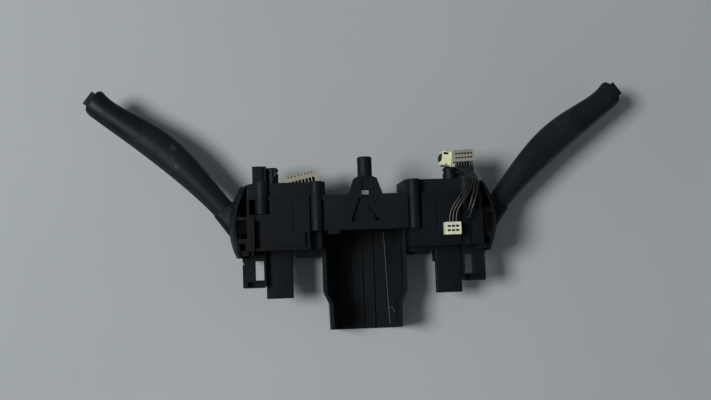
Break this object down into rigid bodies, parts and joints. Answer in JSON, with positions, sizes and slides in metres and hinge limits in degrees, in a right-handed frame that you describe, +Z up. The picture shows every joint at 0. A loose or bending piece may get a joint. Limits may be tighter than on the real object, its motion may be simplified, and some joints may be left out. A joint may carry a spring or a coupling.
{
  "type": "combination stalk switch",
  "caption": "Steering-column combination switch: carrier with a column bore and saddle, a switch case on each side, and two curved stalks with end push-buttons on gimbal pivots.",
  "frame": {"origin": "on the column axis, in the plane of the slip ring's front seat", "axes": "+Y along the column toward the driver, +X across the column to the wiper side, +Z up as it lies on its back"},
  "size_m": [0.404, 0.1829, 0.0648],
  "materials": {
    "housing_black": "matte",
    "case_black": "matte",
    "plug_black": "satin",
    "stalk_black": "satin",
    "inlay_black": "satin",
    "button_black": "satin",
    "white_nylon": "satin",
    "cream_nylon": "satin",
    "grey_nylon": "satin",
    "greige_nylon": "satin",
    "lead_dark": "satin",
    "natural_acetal": "satin",
    "board_green": "satin",
    "pin_brass": "bright",
    "zinc_screw": "zinc plated",
    "spring_steel": "satin"
  },
  "bodies": {
    "carrier": {"carrier_housing": "housing_black", "column_saddle": "housing_black", "case_screws": "zinc_screw", "saddle_screws": "zinc_screw", "front_plug_right": "plug_black", "front_plug_left": "plug_black", "coupling_barrel_right": "plug_black", "coupling_barrel_left": "plug_black", "white_connector": "white_nylon", "grey_connector": "grey_nylon", "cream_connector": "cream_nylon", "tilted_connector": "greige_nylon", "lead_1": "lead_dark", "lead_2": "lead_dark", "lead_3": "lead_dark", "lead_4": "lead_dark", "lead_5": "lead_dark", "short_leads": "lead_dark", "switch_case_right": "case_black", "case_cover_right": "case_black", "circuit_board_right": "board_green", "header_block_right": "case_black", "header_pins_right": "pin_brass", "contact_strips_right": "pin_brass", "detent_gate_right": "natural_acetal", "switch_case_left": "case_black", "case_cover_left": "case_black", "circuit_board_left": "board_green", "header_block_left": "case_black", "header_pins_left": "pin_brass", "contact_strips_left": "pin_brass", "detent_gate_left": "natural_acetal"},
    "yoke_right": {"yoke_right": "natural_acetal", "turn_pin_right": "spring_steel"},
    "stalk_right": {"lever_arm_right": "natural_acetal", "shield_right": "case_black", "stalk_upper_right": "stalk_black", "stalk_lower_right": "stalk_black", "stalk_inlay_right": "inlay_black", "button_switch_right": "button_black", "detent_plunger_right": "natural_acetal", "detent_spring_right": "spring_steel"},
    "button_right": {"tip_button_right": "button_black"},
    "turn_slider_right": {"turn_slider_right": "natural_acetal"},
    "pull_slider_right": {"pull_slider_right": "natural_acetal"},
    "yoke_left": {"yoke_left": "natural_acetal", "turn_pin_left": "spring_steel"},
    "stalk_left": {"lever_arm_left": "natural_acetal", "shield_left": "case_black", "stalk_upper_left": "stalk_black", "stalk_lower_left": "stalk_black", "stalk_inlay_left": "inlay_black", "button_switch_left": "button_black", "detent_plunger_left": "natural_acetal", "detent_spring_left": "spring_steel"},
    "button_left": {"tip_button_left": "button_black"},
    "turn_slider_left": {"turn_slider_left": "natural_acetal"},
    "pull_slider_left": {"pull_slider_left": "natural_acetal"}
  },
  "joints": [
    {"name": "right_pull", "type": "hinge", "parent": "carrier", "child": "yoke_right", "pos_m": [0.0455, -0.02, 0.002], "axis": [0, 0, 1], "range_deg": [0, 6], "stiffness_Nm_per_rad": 0.6},
    {"name": "right_turn", "type": "hinge", "parent": "yoke_right", "child": "stalk_right", "pos_m": [0.0455, -0.02, 0.002], "axis": [0, 1, 0], "range_deg": [-9, 5]},
    {"name": "right_button", "type": "slide", "parent": "stalk_right", "child": "button_right", "axis": [-0.8028, -0.5962, 0], "range_m": [0, 0.0015], "stiffness_N_per_m": 600},
    {"name": "right_turn_slider", "type": "slide", "parent": "carrier", "child": "turn_slider_right", "axis": [0, 0, 1], "range_m": [-0.0027, 0.0027]},
    {"name": "right_pull_slider", "type": "slide", "parent": "carrier", "child": "pull_slider_right", "axis": [0, 1, 0], "range_m": [-0.0016, 0.0016]},
    {"name": "left_pull", "type": "hinge", "parent": "carrier", "child": "yoke_left", "pos_m": [-0.0455, -0.02, 0.002], "axis": [0, 0, -1], "range_deg": [-5, 6], "stiffness_Nm_per_rad": 0.6},
    {"name": "left_turn", "type": "hinge", "parent": "yoke_left", "child": "stalk_left", "pos_m": [-0.0455, -0.02, 0.002], "axis": [0, 1, 0], "range_deg": [-8, 8]},
    {"name": "left_button", "type": "slide", "parent": "stalk_left", "child": "button_left", "axis": [0.8028, -0.5962, 0], "range_m": [0, 0.0015], "stiffness_N_per_m": 600},
    {"name": "left_turn_slider", "type": "slide", "parent": "carrier", "child": "turn_slider_left", "axis": [0, 0, 1], "range_m": [-0.0027, 0.0027]},
    {"name": "left_pull_slider", "type": "slide", "parent": "carrier", "child": "pull_slider_left", "axis": [0, 1, 0], "range_m": [-0.0016, 0.0016]}
  ],
  "couplings": [
    {"joint": "right_turn_slider", "follows": "right_turn", "m_per_rad": -0.016},
    {"joint": "right_pull_slider", "follows": "right_pull", "m_per_rad": 0.0135},
    {"joint": "left_turn_slider", "follows": "left_turn", "m_per_rad": 0.016},
    {"joint": "left_pull_slider", "follows": "left_pull", "m_per_rad": 0.0135}
  ]
}
